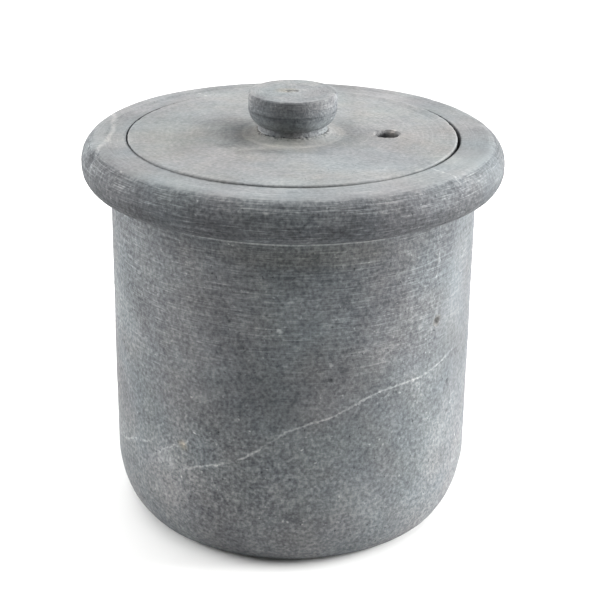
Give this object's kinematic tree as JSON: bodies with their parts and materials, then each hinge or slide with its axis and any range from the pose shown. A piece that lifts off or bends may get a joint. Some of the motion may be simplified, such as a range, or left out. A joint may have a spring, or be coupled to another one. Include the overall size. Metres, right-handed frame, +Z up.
{
  "type": "lidded stone pot",
  "caption": "Turned soapstone pot with a half-round rim and a flush round lid with a knob and a vent hole, for keeping massage stones warm.",
  "frame": {"origin": "centre of the pot's flat underside, on the surface that it stands on", "axes": "+Z up along the pot's turning axis, +X towards the lid's vent hole"},
  "size_m": [0.2, 0.2, 0.2077],
  "materials": {
    "pot_stone": "turned soapstone, matte and dusty",
    "lid_stone": "turned soapstone, honed matte",
    "knob_stone": "turned soapstone, matte"
  },
  "bodies": {
    "pot": {"pot": "pot_stone"},
    "lid": {"lid": "lid_stone", "lid_knob": "knob_stone"}
  },
  "joints": [
    {"name": "lid_lift", "type": "slide", "parent": "pot", "child": "lid", "axis": [0, 0, 1], "range_m": [0, 0.1]}
  ]
}
